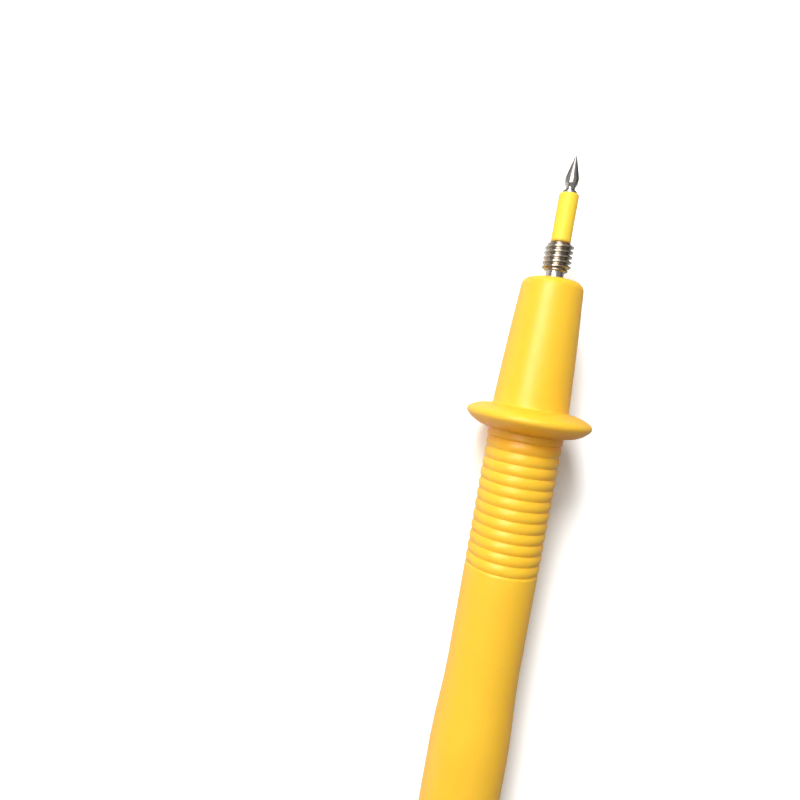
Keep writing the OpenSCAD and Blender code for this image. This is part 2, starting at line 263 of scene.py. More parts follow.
# Moulded skin: a fine pebble from the mould's finish and a faint swell from shrinkage
def makeSkinGroup():
    tree, inside, outside = newGroup("moulded skin", [
        ("Vector", "NodeSocketVector", None), ("Scale", "NodeSocketFloat", 3000.0),
        ("Swell", "NodeSocketFloat", 0.5)], [("Height", "NodeSocketFloat")])
    pebble = addNode(tree, "ShaderNodeTexNoise", Detail=3.0, Roughness=0.5)
    swellScale = addNode(tree, "ShaderNodeMath", operation="MULTIPLY")
    swellScale.inputs[1].default_value = patterns["swellCoarseness"]
    swell = addNode(tree, "ShaderNodeTexNoise", Detail=1.0)
    swellShare = addNode(tree, "ShaderNodeMath", operation="MULTIPLY")
    total = addNode(tree, "ShaderNodeMath", operation="ADD")
    link = tree.links.new
    link(inside.outputs["Vector"], pebble.inputs["Vector"])
    link(inside.outputs["Scale"], pebble.inputs["Scale"])
    link(inside.outputs["Scale"], swellScale.inputs[0])
    link(inside.outputs["Vector"], swell.inputs["Vector"])
    link(swellScale.outputs[0], swell.inputs["Scale"])
    link(swell.outputs["Fac"], swellShare.inputs[0])
    link(inside.outputs["Swell"], swellShare.inputs[1])
    link(pebble.outputs["Fac"], total.inputs[0])
    link(swellShare.outputs[0], total.inputs[1])
    link(total.outputs[0], outside.inputs["Height"])
    return tree


# Turning marks: fine rings round the axis, uneven in depth, that a lathe tool leaves.
# The vector is stretched so that it hardly changes round the axis. The mask holds broader
# bands of the same rings.
def makeTurningGroup():
    tree, inside, outside = newGroup("turning marks", [
        ("Vector", "NodeSocketVector", None), ("Lines", "NodeSocketFloat", 9000.0)],
        [("Height", "NodeSocketFloat"), ("Mask", "NodeSocketFloat")])
    stretch = addNode(tree, "ShaderNodeVectorMath", operation="MULTIPLY")
    stretch.inputs[1].default_value = patterns["ringStretch"]
    rings = addNode(tree, "ShaderNodeTexNoise", Detail=5.0, Roughness=0.7)
    coarseLines = addNode(tree, "ShaderNodeMath", operation="MULTIPLY")
    coarseLines.inputs[1].default_value = patterns["bandCoarseness"]
    bands = addNode(tree, "ShaderNodeTexNoise", Detail=2.0)
    link = tree.links.new
    link(inside.outputs["Vector"], stretch.inputs[0])
    link(stretch.outputs[0], rings.inputs["Vector"])
    link(inside.outputs["Lines"], rings.inputs["Scale"])
    link(inside.outputs["Lines"], coarseLines.inputs[0])
    link(stretch.outputs[0], bands.inputs["Vector"])
    link(coarseLines.outputs[0], bands.inputs["Scale"])
    link(rings.outputs["Fac"], outside.inputs["Height"])
    link(bands.outputs["Fac"], outside.inputs["Mask"])
    return tree


patchGroup = makePatchGroup()
skinGroup = makeSkinGroup()
turningGroup = makeTurningGroup()
probeTurn = Matrix(np.column_stack([sideways, upward, rearward]).tolist()).to_euler()


# A material with one Principled shader, and object coordinates turned to the probe's axes:
# x sideways, y upward and z rearward from the point
def newMaterial(name, shaderValues):
    material = bpy.data.materials.new(name)
    material.use_nodes = True
    tree = material.node_tree
    shader = tree.nodes["Principled BSDF"]
    setInputs(shader, shaderValues)
    coordinates = tree.nodes.new("ShaderNodeTexCoord")
    turned = addNode(tree, "ShaderNodeMapping", vector_type="TEXTURE")
    setInputs(turned, {"Location": Vector(pointPlace), "Rotation": probeTurn})
    tree.links.new(coordinates.outputs["Object"], turned.inputs["Vector"])
    return material, tree, shader, turned.outputs["Vector"]


# A shared node group, placed in a material with that material's own values
def placeGroup(tree, group, vector, values):
    node = addNode(tree, "ShaderNodeGroup", node_tree=group)
    tree.links.new(vector, node.inputs["Vector"])
    setInputs(node, values)
    return node


def addBump(tree, shader, height, distance, strength):
    bump = addNode(tree, "ShaderNodeBump", Distance=distance, Strength=strength)
    tree.links.new(height, bump.inputs["Height"])
    tree.links.new(bump.outputs["Normal"], shader.inputs["Normal"])


# The patches of a look: where its colour and gloss drift
def addPatches(tree, vector, look):
    return placeGroup(tree, patchGroup, vector, {
        "Base": look["color"], "Stain": look["stain"], "Scale": look["patchScale"],
        "Amount": look["patchAmount"], "Smooth": look["smooth"], "Dull": look["dull"]})


# Where a mesh carries the painted-shade attribute, the colour goes towards the look's own colour
# for painted shade, which darkens recesses and the places behind parts where shade falls
def paintedShadeColor(tree, color, look):
    if "paintedShade" not in look:
        return color
    paintedShade = addNode(tree, "ShaderNodeAttribute", attribute_name="paintedShade")
    shaded = addNode(tree, "ShaderNodeMix", data_type="RGBA")
    shaded.inputs[7].default_value = look["paintedShade"]
    tree.links.new(paintedShade.outputs["Fac"], shaded.inputs[0])
    tree.links.new(color, shaded.inputs[6])
    return shaded.outputs[2]


# Pigmented plastic: patches of wear in colour and gloss over a moulded skin
def plasticMaterial(name, look):
    material, tree, shader, vector = newMaterial(name, look["shader"])
    patches = addPatches(tree, vector, look)
    skin = placeGroup(tree, skinGroup, vector, {
        "Scale": look["skinScale"], "Swell": look["swell"]})
    tree.links.new(paintedShadeColor(tree, patches.outputs["Color"], look), shader.inputs["Base Color"])
    tree.links.new(patches.outputs["Roughness"], shader.inputs["Roughness"])
    addBump(tree, shader, skin.outputs["Height"], look["skinDepth"] * mm, look["skinStrength"])
    return material


# Turned metal: lathe rings, tarnish in patches, and gloss that varies with both
def metalMaterial(name, look):
    material, tree, shader, vector = newMaterial(name, look["shader"])
    patches = addPatches(tree, vector, look)
    marks = placeGroup(tree, turningGroup, vector, {"Lines": look["lines"]})
    gloss = addNode(tree, "ShaderNodeMath", operation="MULTIPLY_ADD")
    gloss.inputs[1].default_value = look["lineDull"]
    tree.links.new(marks.outputs["Mask"], gloss.inputs[0])
    tree.links.new(patches.outputs["Roughness"], gloss.inputs[2])
    tree.links.new(gloss.outputs[0], shader.inputs["Roughness"])
    tree.links.new(paintedShadeColor(tree, patches.outputs["Color"], look), shader.inputs["Base Color"])
    addBump(tree, shader, marks.outputs["Height"], look["lineDepth"] * mm, look["lineStrength"])
    return material


# Finishes: depths are in millimetres, scales are per metre
handleLook = {
    "color": (0.98, 0.58, 0.033, 1), "stain": (0.96, 0.525, 0.028, 1),
    "patchScale": 90.0, "patchAmount": 0.4, "smooth": 0.34, "dull": 0.42,
    "skinScale": 2600.0, "swell": 1.0, "skinDepth": 0.012, "skinStrength": 0.3,
    # painted shade: the deeper orange behind the guard and in the grooves
    "paintedShade": (0.95, 0.45, 0.014, 1),
    "shader": {"IOR": 1.5, "Specular IOR Level": 0.7, "Subsurface Weight": 0.4,
               "Subsurface Radius": (1.0, 0.25, 0.03), "Subsurface Scale": 0.001,
               "Sheen Weight": 0.25, "Sheen Roughness": 0.6, "Sheen Tint": (1, 0.25, 0.01, 1)},
}
sleeveLook = {
    "color": (0.98, 0.74, 0.06, 1), "stain": (0.96, 0.66, 0.05, 1),
    "patchScale": 260.0, "patchAmount": 0.5, "smooth": 0.34, "dull": 0.5,
    "skinScale": 5200.0, "swell": 1.6, "skinDepth": 0.010, "skinStrength": 0.4,
    # painted shade: the dark line at the sleeve's rear end
    "paintedShade": (0.30, 0.10, 0.012, 1),
    "shader": {"IOR": 1.48, "Subsurface Weight": 0.1, "Subsurface Radius": (1.0, 0.4, 0.05),
               "Subsurface Scale": 0.0003, "Sheen Weight": 0.7, "Sheen Roughness": 0.6,
               "Sheen Tint": (1, 0.3, 0.02, 1)},
}
coreLook = {
    "color": (0.80, 0.77, 0.70, 1), "stain": (0.72, 0.67, 0.58, 1),
    "patchScale": 120.0, "patchAmount": 0.5, "smooth": 0.4, "dull": 0.55,
    "skinScale": 2600.0, "swell": 1.0, "skinDepth": 0.01, "skinStrength": 0.4,
    "shader": {"IOR": 1.5, "Subsurface Weight": 0.15, "Subsurface Radius": (1.0, 0.8, 0.6),
               "Subsurface Scale": 0.001},
}
nickelLook = {
    "color": (0.62, 0.59, 0.55, 1), "stain": (0.46, 0.41, 0.36, 1),
    "patchScale": 420.0, "patchAmount": 0.6, "smooth": 0.11, "dull": 0.19,
    "lines": 16000.0, "lineDull": 0.12, "lineDepth": 0.002, "lineStrength": 0.5,
    # painted shade: darker, browner thread roots and last turns
    "paintedShade": (0.48, 0.41, 0.31, 1),
    "shader": {"Metallic": 1.0},
}
brassLook = {
    "color": (0.80, 0.58, 0.26, 1), "stain": (0.55, 0.36, 0.16, 1),
    "patchScale": 300.0, "patchAmount": 0.6, "smooth": 0.18, "dull": 0.32,
    "lines": 12000.0, "lineDull": 0.12, "lineDepth": 0.003, "lineStrength": 0.6,
    "shader": {"Metallic": 1.0},
}
springLook = {
    "color": (0.30, 0.30, 0.32, 1), "stain": (0.16, 0.13, 0.11, 1),
    "patchScale": 380.0, "patchAmount": 0.8, "smooth": 0.25, "dull": 0.42,
    "lines": 8000.0, "lineDull": 0.1, "lineDepth": 0.003, "lineStrength": 0.5,
    "shader": {"Metallic": 1.0},
}
handlePlastic = plasticMaterial("handlePlastic", handleLook)
sleevePlastic = plasticMaterial("sleevePlastic", sleeveLook)
corePlastic = plasticMaterial("corePlastic", coreLook)
nickelPlate = metalMaterial("nickelPlate", nickelLook)
brass = metalMaterial("brass", brassLook)
springSteel = metalMaterial("springSteel", springLook)
print("finishes made")

# Contact rod: spike, neck, shank, clip thread and flange, turned in one piece
rodShape = {
    "pointRadius": 0.1, "pointFrom": -80, "pointTo": -15, "spikeLength": 3.2,
    "spikeRadius": 0.95, "belly": 0.02, "landLength": 0.8, "landRadius": 0.9,
    "landEdge": 0.05, "neckRadius": 0.625, "coveLength": 0.75, "flare": 0.3,
    "shankRadius": 1.0, "smallEdge": 0.06,
    "threadStart": 12.4, "threadEnd": 16.25, "crestRadius": 2.0, "rootRadius": 1.57,
    "pitch": 0.7, "crestStation": 12.72, "rootFlat": 0.1, "flankShare": 0.72,
    "flankSoft": 0.04, "runIn": 0.3, "runOut": 0.35, "threadEdge": 0.04,
    "threadShoulder": 0.05, "lateShadeLength": 1.4,
    "rodRadius": 1.25, "collarStation": 18.0, "collarRadius": 2.2, "collarFillet": 0.1,
    "collarEdge": 0.15, "flangeStation": 30.6, "flangeAcross": 5.6, "bossStation": 32.6,
    "bossRadius": 2.5, "bossEnd": 36.6, "screwRadius": 1.55, "screwDepth": 6.0,
    "screwEdge": 0.02, "columns": 216, "spikeRows": 24, "threadRows": 180,
}


# Radius of the clip thread at each station and angle. The phase is the distance from the
# nearest crest in pitches, (station - first crest) / pitch - angle / turn. The flank f rises
# evenly from 0 at the root to 1 at the crest, less flankSoft times sin(2 pi f), with a flat
# at both, and the thread runs out at its ends.
def threadRadius(station, angle):
    s = rodShape
    turns = (station - s["crestStation"]) / s["pitch"] - angle / (2 * np.pi)
    fromCrest = np.abs(turns - np.round(turns)) * 2  # 0 at the crest, 1 at the root
    flank = np.clip((1 - fromCrest - s["rootFlat"]) / s["flankShare"], 0, 1)
    flank = flank - s["flankSoft"] * np.sin(2 * np.pi * flank)
    runIn = np.clip((station - s["threadStart"]) / s["runIn"], 0, 1)
    runOut = np.clip((s["threadEnd"] - station) / s["runOut"], 0, 1)
    height = s["crestRadius"] - s["rootRadius"]
    return s["rootRadius"] + height * flank * np.minimum(runIn, runOut)


# Half section of the spike and its neck: a round point, sides that swell by belly times
# sin(pi t) along their length, a land that tapers, and a cove, an arc that ends straight
# along the axis
def spikeSection():
    s = rodShape
    point = arcPoints(0, s["pointRadius"], s["pointRadius"], s["pointFrom"], s["pointTo"],
                      steps=6)
    t = np.linspace(0, 1, s["spikeRows"])[1:]
    wide = np.array([s["spikeRadius"], s["spikeLength"]])
    side = point[-1] + (wide - point[-1]) * t[:, None]
    side[:, 0] += s["belly"] * np.sin(np.pi * t)
    coveDepth = s["landRadius"] - s["neckRadius"]
    coveSize = arcSize(s["coveLength"], coveDepth)
    coveTurn = math.degrees(math.acos(1 - coveDepth / coveSize))
    neck = s["spikeLength"] + s["landLength"] + s["coveLength"]
    cove = arcPoints(s["neckRadius"] + coveSize, neck, coveSize, 180 + coveTurn, 180, steps=14)
    land = roundCorners([side[-1], cove[0], cove[2]], [0, s["landEdge"], 0])
    return np.vstack([point, side, land[1:], cove[3:]])


# Painted shade in the thread: the depth below the crest cubed, or 1 at the rear end next to the
# nose falling to 0 over a set length, whichever is more
def threadShade(radii, stations):
    s = rodShape
    depth = (s["crestRadius"] - radii) / (s["crestRadius"] - s["rootRadius"])
    late = 1 - (s["threadEnd"] - stations) / s["lateShadeLength"]
    return np.maximum(np.clip(depth, 0, 1) ** 3, np.clip(late, 0, 1))


# The rod's half section is turned, but for its thread and its hexagonal flange
def makeContactRod():
    s = rodShape
    spike = spikeSection()
    shank = roundCorners([
        spike[-1], [s["shankRadius"], spike[-1, 1] + s["flare"]],
        [s["shankRadius"], s["threadStart"]], [s["rootRadius"], s["threadStart"]]],
        [0, s["smallEdge"], s["threadEdge"], 0])
    thread = np.linspace(s["threadStart"], s["threadEnd"], s["threadRows"])
    thread = np.column_stack([np.full(len(thread), threadMark), thread])
    rod = roundCorners([
        [s["rootRadius"], s["threadEnd"]],
        [s["rodRadius"], s["threadEnd"] + s["threadShoulder"]],
        [s["rodRadius"], s["collarStation"]], [s["collarRadius"], s["collarStation"]],
        [s["collarRadius"], s["flangeStation"]]],
        [0, s["smallEdge"], s["collarFillet"], s["collarEdge"], 0])
    flange = np.array([[hexMark, s["flangeStation"]], [hexMark, s["bossStation"]]])
    screwEnd = s["bossEnd"] - s["screwDepth"]
    boss = roundCorners([
        [s["bossRadius"], s["bossStation"]], [s["bossRadius"], s["bossEnd"]],
        [s["screwRadius"], s["bossEnd"]], [s["screwRadius"], screwEnd],
        [s["screwEdge"], screwEnd]],
        [0, s["collarEdge"], s["collarEdge"], s["screwEdge"], 0])
    section = np.vstack([spike, shank[1:-1], thread, rod[1:], flange, boss])
    angles = np.arange(s["columns"]) * 2 * np.pi / s["columns"]
    radii = np.repeat(section[:, :1], s["columns"], 1)
    stations = np.repeat(section[:, 1:], s["columns"], 1)
    isThread = section[:, 0] == threadMark
    radii[isThread] = threadRadius(stations[isThread], angles[None, :])
    radii[section[:, 0] == hexMark] = s["flangeAcross"] * hexagonReach(angles)
    piece = turnedMesh("contactRod", radii, stations, angles, nickelPlate, closed=False)
    # painted shade in the thread's roots and on its last turns
    markPaintedShade(piece, np.where(isThread[:, None], threadShade(radii, stations), 0))
    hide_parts("contact_rod")
    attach(piece, "root")


makeContactRod()
print("contact rod made")

# Tip sleeve: shrunk insulation with softened, slightly drawn-in ends
sleeveShape = {
    "boreRadius": 1.05, "boreEdge": 0.02, "edge": 0.12, "drawnIn": 0.03, "drawnLength": 0.8,
    "rearShadeLength": 0.4, "rows": 40, "columns": 144,
}


# Outer radius falls off towards both ends by drawnIn times (1 - distance / drawnLength)^2.
# The share of painted shade, a dark line where the sleeve's rear end meets the thread, is 1 at
# the rear end and falls to 0 over a set length.
def makeTipSleeve():
    s = sleeveShape
    front, rear, radius = spanOf("tip_sleeve")
    station = np.linspace(front + s["edge"], rear - s["edge"], s["rows"])
    fromEnd = np.minimum(station - front, rear - station)
    outer = radius - s["drawnIn"] * np.clip(1 - fromEnd / s["drawnLength"], 0, 1) ** 2
    edgeRadius = outer[0] - s["edge"]
    bore, boreMouth = s["boreRadius"], s["boreRadius"] + s["boreEdge"]
    section = np.vstack([
        [[bore, front + s["boreEdge"]], [boreMouth, front]],
        arcPoints(edgeRadius, front + s["edge"], s["edge"], -90, 0, steps=8)[:-1],
        np.column_stack([outer, station]),
        arcPoints(edgeRadius, rear - s["edge"], s["edge"], 0, 90, steps=8)[1:],
        [[boreMouth, rear], [bore, rear - s["boreEdge"]]]])
    piece = turnedPiece("tipSleeve", section, sleevePlastic, s["columns"])
    # painted shade at the rear end
    shaded = np.clip(1 - (rear - section[:, 1]) / s["rearShadeLength"], 0, 1)
    markPaintedShade(piece, np.repeat(shaded[:, None], s["columns"], 1))
    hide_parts("tip_sleeve")
    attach(piece, "root")


makeTipSleeve()
print("tip sleeve made")

# Handle: nose, finger guard, ribbed grip and barrel in one moulding
handleShape = {
    "noseFront": 4.35, "noseRoot": 5.4, "noseLength": 18.4, "noseEdge": 1.3, "noseBelly": 0.06,
    "rimRadius": 0.7, "guardFront": 1.45, "guardRear": 1.95, "guardFillet": 0.28,
    "gripRadius": 5.33, "grooveDepth": 0.24, "grooveSoft": 0.05, "ribPitch": 1.55,
    "grooves": 13, "firstGroove": 1.25, "shoulderLead": 0.25, "shoulderReach": 0.04,
    "shoulderEdge": 0.12, "barrelRadius": 5.27, "barrelEdge": 0.16, "rearLength": 28.0,
    "widenLength": 9.0, "widenBend": 3.0, "rearRadius": 5.8, "rearEdge": 0.5,
    "frontBore": 2.25, "throatEdge": 0.12, "flangeStation": 30.6, "flangeAcross": 5.7,
    "bossStation": 32.6, "coreBore": 3.4, "seatStation": 88.8, "seatEdge": 0.05,
    "shroudBore": 4.5, "ringStation": 90.15, "ringLength": 0.9,
    "ringDepth": 0.45, "ringEdge": 0.03,
    "flash": 0.018, "flashWidth": 0.012, "flashEnd": 7.6, "flashFade": 2.0,
    "shadeStart": 0.3, "shadeLead": 0.9, "shadeFade": 2.6, "grooveShade": 0.35,
    "grooveReach": 0.3, "columns": 192, "noseRows": 15, "ribRows": 17,
}


# Radius at a distance from the middle of a rib: gripRadius - size + sqrt(size^2 - x^2), an
# arc, where x is half the pitch less sqrt(w^2 + soft^2) and w the distance to the groove
def ribRadius(fromGroove):
    s = handleShape
    size = arcSize(s["ribPitch"] / 2, s["grooveDepth"])
    x = s["ribPitch"] / 2 - np.hypot(fromGroove, s["grooveSoft"])
    return s["gripRadius"] - size + np.sqrt(size ** 2 - x ** 2)


# Rows of the ribs at shares u = (1 - cos(pi t)) / 2 of the way across each, closer together
# at the grooves
def ribSection(firstStation):
    s = handleShape
    u = (1 - np.cos(np.pi * np.linspace(0, 1, s["ribRows"])[1:])) / 2
    radius = ribRadius((0.5 - np.abs(u - 0.5)) * s["ribPitch"])
    rib = np.arange(s["grooves"] - 1)[:, None]
    station = firstStation + (rib + u) * s["ribPitch"]
    return np.column_stack([np.broadcast_to(radius, station.shape).ravel(), station.ravel()])


# Radius of a face of the guard that starts square to the axis and runs into the rim, whose
# centre is "across" outside its start and "along" from it:
# (across^2 + along^2 - rim^2) / (2 (along - rim))
def faceSize(across, along):
    rim = handleShape["rimRadius"]
    return (across ** 2 + along ** 2 - rim ** 2) / (2 * (along - rim))


# Rounds the inner corner where a row of points ends and an arc starts, past the arc's
# points that lie closer to the corner than twice the fillet
def filletInto(before, arc, fillet):
    near = np.linalg.norm(arc - arc[0], axis=1) < 2 * fillet
    rest = arc[~near]
    corner = roundCorners([before, arc[0], rest[0]], [0, fillet, 0], steps=8)
    return np.vstack([corner[1:-1], rest])


# Half section of the handle's outside. The nose's side swells by noseBelly times sin(pi t)
# along its length, the guard's two faces are arcs into its round rim, and straight
# stretches with rounded corners make the shoulder and the barrel.
def handleOutline():
    s = handleShape
    front, rear, guardRadius = spanOf("handle_shell")
    root = front + s["noseLength"]
    rimRadius, rimStation = guardRadius - s["rimRadius"], root + s["guardFront"]
    gripStation = rimStation + s["guardRear"]
    frontAcross, rearAcross = rimRadius - s["noseRoot"], rimRadius - s["gripRadius"]
    frontSize = faceSize(frontAcross, s["guardFront"])
    rearSize = faceSize(rearAcross, s["guardRear"])
    frontTurn = math.degrees(math.atan2(s["guardFront"] - frontSize, frontAcross))
    rearTurn = math.degrees(math.atan2(rearSize - s["guardRear"], rearAcross))
    slope = math.degrees(math.atan2(s["noseRoot"] - s["noseFront"], s["noseLength"]))
    edge = arcPoints(s["noseFront"] - s["noseEdge"], front + s["noseEdge"], s["noseEdge"],
                     -90, -slope, steps=16)
    t = np.linspace(0, 1, s["noseRows"])[1:-1, None]
    nose = edge[-1] + (np.array([s["noseRoot"], root]) - edge[-1]) * t
    nose[:, :1] += s["noseBelly"] * np.sin(np.pi * t)
    frontFace = arcPoints(s["noseRoot"], root + frontSize, frontSize, -90, frontTurn, steps=24)
    rim = arcPoints(rimRadius, rimStation, s["rimRadius"], frontTurn, rearTurn, steps=20)
    rearFace = arcPoints(s["gripRadius"], gripStation - rearSize, rearSize, rearTurn, 90,
                         steps=24)
    firstGroove = gripStation + s["firstGroove"]
    shoulder = firstGroove - s["grooveDepth"]
    behind = filletInto(np.array([s["gripRadius"], shoulder]), rearFace[::-1], s["guardFillet"])
    ribs = ribSection(firstGroove)
    groove = roundCorners([
        [s["gripRadius"], shoulder - s["shoulderLead"]],
        [s["gripRadius"], shoulder + s["shoulderReach"]],
        [ribs[-1, 0], firstGroove], ribs[0]], [0, s["shoulderEdge"], 0, 0])
    gripEnd = ribs[-1, 1]
    wide = rear - s["rearLength"]
    barrel = roundCorners([
        ribs[-1], [s["barrelRadius"], gripEnd + s["grooveDepth"]],
        [s["barrelRadius"], wide - s["widenLength"]], [s["rearRadius"], wide],
        [s["rearRadius"], rear - s["rearEdge"]]],
        [0, s["barrelEdge"], s["widenBend"], s["widenBend"], 0], steps=10)
    rearEdge = arcPoints(s["rearRadius"] - s["rearEdge"], rear - s["rearEdge"],
                         s["rearEdge"], 0, 90)
    return np.vstack([
        edge, nose, filletInto(nose[-1], frontFace, s["guardFillet"]), rim[1:-1],
        behind[::-1], groove[:-1], ribs, barrel[1:], rearEdge[1:]])


# Share of painted shade behind the guard, where its shadow falls on the grip, and in the
# grooves:
# it starts a set distance behind the guard's rim, rises to 1 over a lead, stays so up to the
# first groove and falls to 0 over a fade; in the grooves it is at least a set share times their
# relative depth
def paintedShadeShare(radius, station, front):
    s = handleShape
    rim = front + s["noseLength"] + s["guardFront"]
    firstGroove = rim + s["guardRear"] + s["firstGroove"]
    lastGroove = firstGroove + (s["grooves"] - 1) * s["ribPitch"]
    behind = np.clip((station - rim - s["shadeStart"]) / s["shadeLead"], 0, 1)
    behind *= np.clip((firstGroove + s["shadeFade"] - station) / s["shadeFade"], 0, 1)
    depth = np.clip((s["gripRadius"] - radius) / s["grooveDepth"], 0, 1)
    reach = s["grooveReach"]
    depth *= (station > firstGroove - reach) & (station < lastGroove + reach)
    return np.maximum(behind, s["grooveShade"] * depth)


# Half section of the handle's inside, from the rear end to the nose's front
def handleBores(front, rear, outlineStart):
    s = handleShape
    ring, ringEnd = s["ringStation"], s["ringStation"] + s["ringLength"]
    shroud, ringBore = s["shroudBore"], s["shroudBore"] + s["ringDepth"]
    bores = roundCorners([
        [shroud, rear], [shroud, ringEnd], [ringBore, ringEnd], [ringBore, ring],
        [shroud, ring], [shroud, s["seatStation"]], [s["coreBore"], s["seatStation"]],
        [s["coreBore"], s["bossStation"]]],
        [0] + 4 * [s["ringEdge"]] + 2 * [s["seatEdge"]] + [0])
    pocket = np.array([[hexMark, s["bossStation"]], [hexMark, s["flangeStation"]]])
    throat = roundCorners([
        [s["frontBore"], s["flangeStation"]], [s["frontBore"], front], outlineStart],
        [0, s["throatEdge"], 0])
    return np.vstack([bores, pocket, throat[:-1]])


# The flash line is a low ridge where the mould's halves met, at both sides: its height is
# flash times exp(-(angle / flashWidth)^2). It fades towards the guard's rim, whose radius is
# past flashEnd, and is not in the bores.
def makeHandle():
    s = handleShape
    front, rear = spanOf("handle_shell")[:2]
    outline = handleOutline()
    section = np.vstack([outline, handleBores(front, rear, outline[0])])
    even = np.arange(s["columns"]) * 2 * np.pi / s["columns"]
    near = np.array([-2.0, -1.2, -0.6, -0.2, 0.2, 0.6, 1.2, 2.0]) * s["flashWidth"]
    angles = np.sort(np.concatenate([even, near % (2 * np.pi), np.pi + near]))  # finer there
    radii = np.repeat(section[:, :1], len(angles), 1)
    stations = np.repeat(section[:, 1:], len(angles), 1)
    radii[section[:, 0] == hexMark] = s["flangeAcross"] * hexagonReach(angles)
    aside = np.abs((angles + np.pi / 2) % np.pi - np.pi / 2)
    ridge = s["flash"] * np.exp(-(aside / s["flashWidth"]) ** 2)
    outer, paintedShade = np.zeros((2, len(section)))
    outer[:len(outline)] = np.clip((s["flashEnd"] - outline[:, 0]) / s["flashFade"], 0, 1)
    radii += outer[:, None] * ridge
    piece = turnedMesh("handleShell", radii, stations, angles, handlePlastic)
    # painted shade behind the guard and in the grooves
    paintedShade[:len(outline)] = paintedShadeShare(outline[:, 0], outline[:, 1], front)
    markPaintedShade(piece, np.repeat(paintedShade[:, None], len(angles), 1))
    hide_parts("handle_shell")
    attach(piece, "root")


makeHandle()
print("handle made")

# Pieces that keep their CAD shape
keptFinishes = {
    "wave_washer": springSteel, "conductor_rod": brass, "core_tube": corePlastic,
    "nut_washer": nickelPlate, "jam_nut": nickelPlate, "socket_contact": nickelPlate,
    "contact_spring": springSteel, "socket_sleeve": handlePlastic,
    "retaining_ring": springSteel,
}
for nodeName, finish in keptFinishes.items():
    materials = frame["nodes"][nodeName].data.materials
    materials.clear()
    materials.append(finish)
print("kept pieces finished")

# Floor, light and camera: places, distances and sizes in metres, directions from the origin
studio = {
    "floorSize": 4.0, "floorColor": (0.70, 0.70, 0.695, 1), "whiteGain": 1.25,
    "whiteFrom": 0.08, "whiteTo": 0.16,
    "dimSide": (-0.01, 0.02, 0.35), "dimAhead": (-0.002, 0.008, 0.25),
    "keyToward": (-0.27, 0.695, 0.665), "keyDistance": 0.6, "keySize": (0.2, 0.2),
    "keyPower": 2.95,
    "topToward": (-0.45, 0.28, 0.84), "topDistance": 0.62, "topSize": (0.5, 0.26),
    "topPower": 1.85,
    "roomLight": 0.27, "wallLow": (0.5, 0.06), "wallHigh": (0.18, 0.3),
    "wallTurn": (-0.9, 0.0), "wallStep": (0.1, 0.6), "metalShare": 0.03,
    "ceilingAcross": (-1.1, -0.8, 0.0, 0.2), "ceilingAlong": (-0.02, 0.15, 0.9, 1.3),
    "frontAcross": (-0.85, -0.65, -0.14, 0.02), "frontUp": (0.05, 0.2, 2.5, 3.5),
    "windowLight": 2.4, "leastPart": 0.02,
}


# The table: matt and pale where light bounces off it, and in metal. To the eye and through
# glass it is a little brighter, and it passes into plain white away from the probe.
def makeFloor():
    mesh = bpy.data.meshes.new("floor")
    half = studio["floorSize"] / 2
    mesh.from_pydata([(-half, -half, 0), (half, -half, 0), (half, half, 0), (-half, half, 0)],
                     [], [(0, 1, 2, 3)])
    floor = bpy.data.objects.new("floor", mesh)
    bpy.context.scene.collection.objects.link(floor)
    material = bpy.data.materials.new("paleTable")
    material.use_nodes = True
    tree = material.node_tree
    tree.nodes.clear()
    gain = studio["whiteGain"]
    bounce = addNode(tree, "ShaderNodeBsdfDiffuse")
    seen = addNode(tree, "ShaderNodeBsdfDiffuse", Color=(gain, gain, gain, 1))
    far = addNode(tree, "ShaderNodeEmission", Color=(1, 1, 1, 1), Strength=1.0)
    place = addNode(tree, "ShaderNodeTexCoord")
    distance = addNode(tree, "ShaderNodeVectorMath", operation="LENGTH")
    away = addNode(tree, "ShaderNodeMapRange", interpolation_type="SMOOTHSTEP")
    setInputs(away, {"From Min": studio["whiteFrom"], "From Max": studio["whiteTo"]})
    look = addNode(tree, "ShaderNodeMixShader")
    surface = addNode(tree, "ShaderNodeMixShader")
    out = addNode(tree, "ShaderNodeOutputMaterial")
    link = tree.links.new
    link(place.outputs["Object"], distance.inputs[0])
    link(distance.outputs["Value"], away.inputs["Value"])
    link(dimmedColor(tree, place.outputs["Object"]), bounce.inputs["Color"])
    link(away.outputs["Result"], look.inputs[0])
    link(seen.outputs[0], look.inputs[1])
    link(far.outputs[0], look.inputs[2])
    link(whiteRays(tree), surface.inputs[0])
    link(bounce.outputs[0], surface.inputs[1])
    link(look.outputs[0], surface.inputs[2])
    link(surface.outputs[0], out.inputs["Surface"])
    mesh.materials.append(material)


# The floor's colour: metal sees it darker on the probe's right, a painted shadow, and ahead of
# the point
def dimmedColor(tree, position):
    split = addNode(tree, "ShaderNodeSeparateXYZ")
    tree.links.new(position, split.inputs[0])
    dimmed = addNode(tree, "ShaderNodeMath", operation="MULTIPLY")
    for number, (axis, start, name) in enumerate((("X", 0.0, "dimSide"),
                                                  ("Y", pointPlace[1], "dimAhead"))):
        near, far, level = studio[name]
        share = addStep(tree, split.outputs[axis], (start + near, start + far), (1.0, level))
        tree.links.new(share, dimmed.inputs[number])
    ray = addNode(tree, "ShaderNodeLightPath")
    share = addStep(tree, ray.outputs["Is Glossy Ray"], (0.0, 1.0), (1.0, dimmed.outputs[0]))
    color = addNode(tree, "ShaderNodeMix", data_type="RGBA")
    color.inputs[6].default_value = (0, 0, 0, 1)
    color.inputs[7].default_value = studio["floorColor"]
    tree.links.new(share, color.inputs[0])
    return color.outputs[2]


